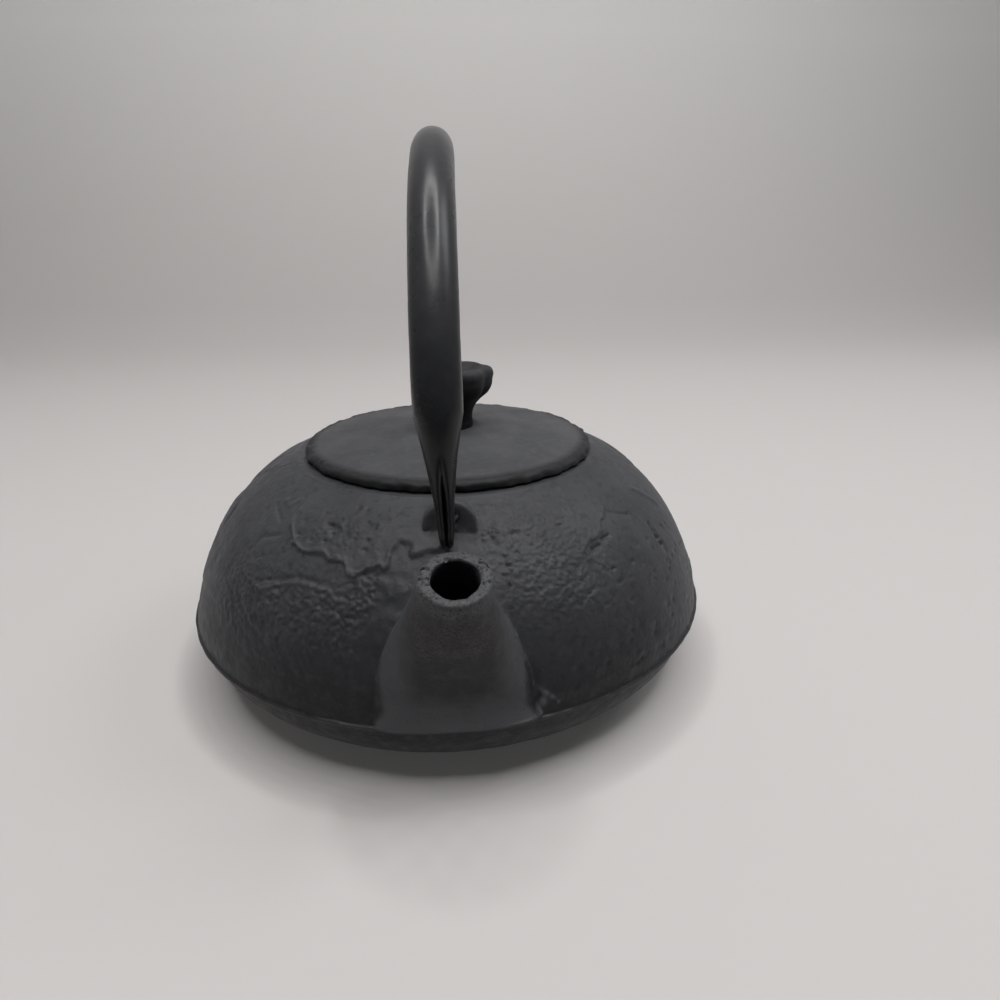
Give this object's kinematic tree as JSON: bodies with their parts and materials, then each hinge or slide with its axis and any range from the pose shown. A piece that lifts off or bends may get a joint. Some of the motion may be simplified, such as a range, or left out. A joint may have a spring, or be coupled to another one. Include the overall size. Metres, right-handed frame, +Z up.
{
  "type": "tetsubin",
  "caption": "Squat black cast-iron kettle with a domed body, a short upright spout, a loose crowned lid with a bud-shaped knob, and a round bail hooked into ears on the shoulder.",
  "frame": {"origin": "middle of the flat base, on the surface that the kettle stands on", "axes": "+Z up, -Y towards the spout, +X to the right as seen from the spout's side; the bail swings about an axis along Y"},
  "size_m": [0.1488, 0.1585, 0.1441],
  "materials": {
    "pot_iron": "matt black, rough as cast, worn lighter on its edges",
    "lid_iron": "fine satin black",
    "knob_iron": "satin black",
    "washer_iron": "dull, hammered",
    "bail_iron": "satin black, smooth"
  },
  "bodies": {
    "pot": {"pot_body": "pot_iron"},
    "lid": {"lid": "lid_iron", "knob_seat": "knob_iron", "knob": "knob_iron", "knob_washer": "washer_iron"},
    "bail": {"bail": "bail_iron"}
  },
  "joints": [
    {"name": "bail_swing", "type": "hinge", "parent": "pot", "child": "bail", "pos_m": [0, 0, 0.06019], "axis": [0, 1, 0], "range_deg": [-104, 104]},
    {"name": "lid_lift", "type": "slide", "parent": "pot", "child": "lid", "axis": [0, 0, 1], "range_m": [0, 0.04]}
  ]
}
